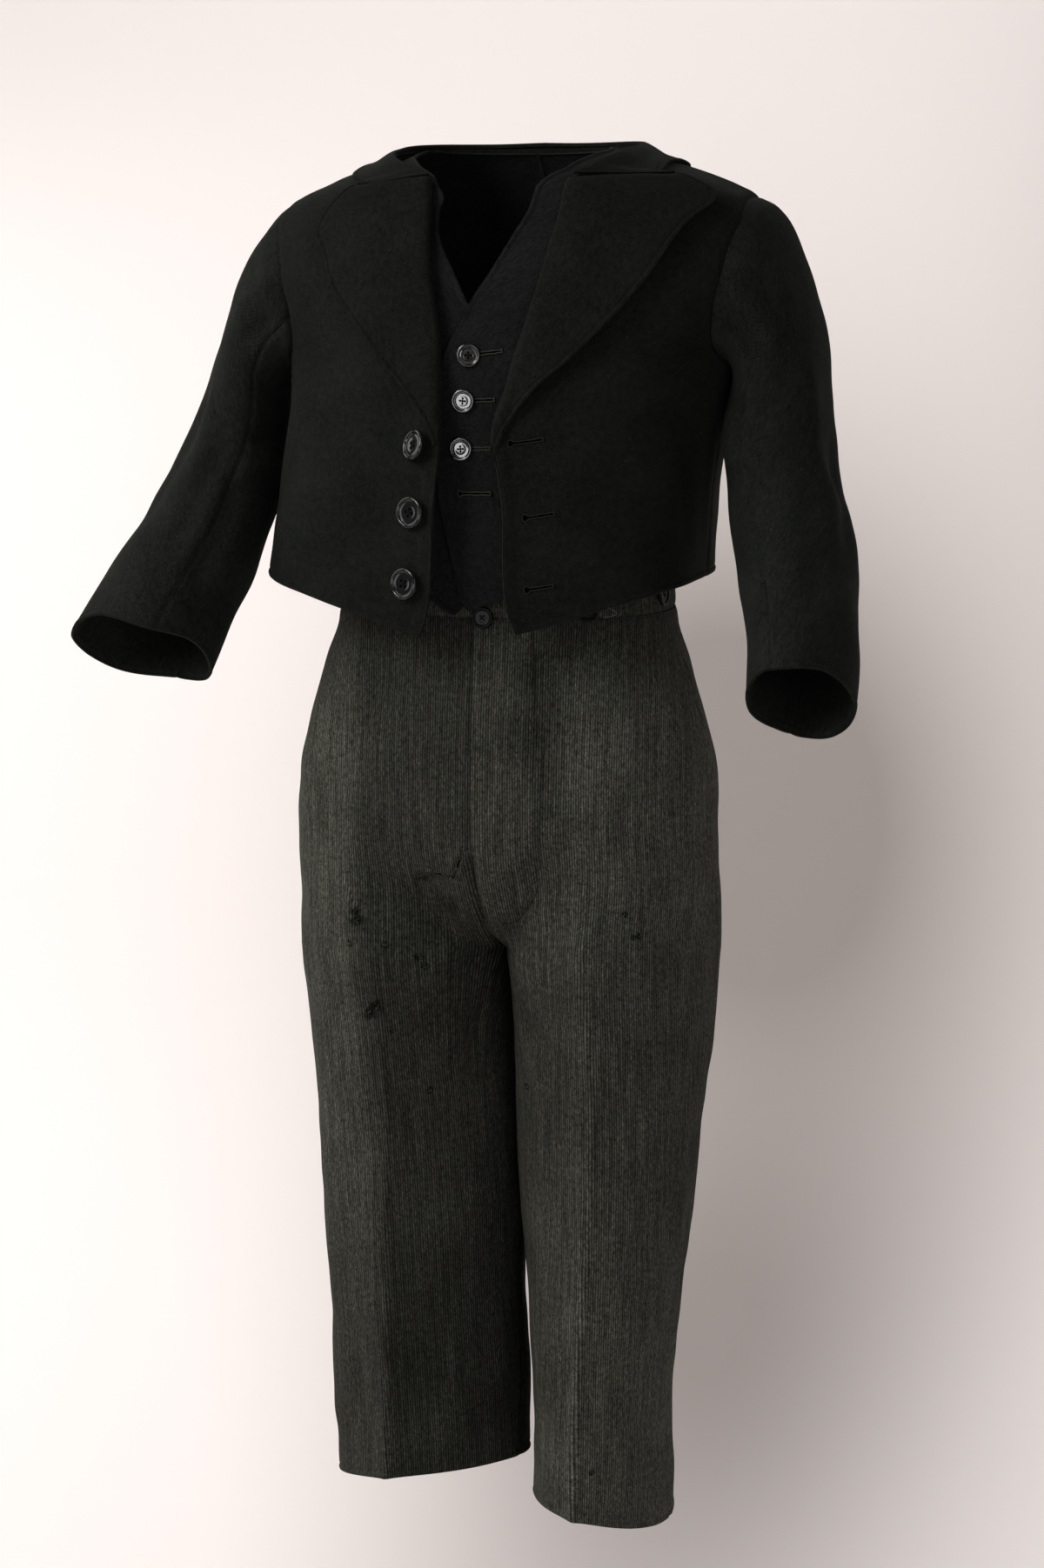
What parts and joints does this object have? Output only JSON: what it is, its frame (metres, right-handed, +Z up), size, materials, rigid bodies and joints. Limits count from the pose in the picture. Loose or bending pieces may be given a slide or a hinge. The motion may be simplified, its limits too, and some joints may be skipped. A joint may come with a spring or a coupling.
{
  "type": "three-piece suit",
  "caption": "Child's worn three-piece suit, hollow: open short jacket with peaked lapels, buttoned waistcoat and cropped striped trousers, each panel its own node.",
  "frame": {"origin": "middle of the neck where the wearer's shoulders carry the suit, on the centre line", "axes": "+Z up, -Y is the front, +X is the wearer's left"},
  "size_m": [0.505, 0.2314, 0.8918],
  "materials": {
    "jacket_wool": "matte woven wool",
    "vest_wool": "matte woven wool",
    "trouser_wool": "matte woven wool",
    "button_horn": "polished dark horn or composition"
  },
  "bodies": {
    "root": {"jacket_front_left": "jacket_wool", "jacket_front_right": "jacket_wool", "jacket_back_left": "jacket_wool", "jacket_back_right": "jacket_wool", "top_sleeve_left": "jacket_wool", "top_sleeve_right": "jacket_wool", "under_sleeve_left": "jacket_wool", "under_sleeve_right": "jacket_wool", "jacket_lapel_left": "jacket_wool", "jacket_lapel_right": "jacket_wool", "jacket_collar_stand": "jacket_wool", "jacket_collar_fall": "jacket_wool", "vest_front_left": "vest_wool", "vest_front_right": "vest_wool", "vest_back_left": "vest_wool", "vest_back_right": "vest_wool", "trouser_front_left": "trouser_wool", "trouser_front_right": "trouser_wool", "trouser_back_left": "trouser_wool", "trouser_back_right": "trouser_wool", "trouser_waistband_left": "trouser_wool", "trouser_waistband_right": "trouser_wool", "jacket_button_1": "button_horn", "jacket_button_2": "button_horn", "jacket_button_3": "button_horn", "vest_button_1": "button_horn", "vest_button_2": "button_horn", "vest_button_3": "button_horn", "trouser_waist_button": "button_horn", "trouser_brace_button_1": "button_horn", "trouser_brace_button_2": "button_horn", "trouser_brace_button_3": "button_horn", "trouser_brace_button_4": "button_horn", "trouser_brace_button_5": "button_horn", "trouser_brace_button_6": "button_horn"}
  },
  "joints": []
}
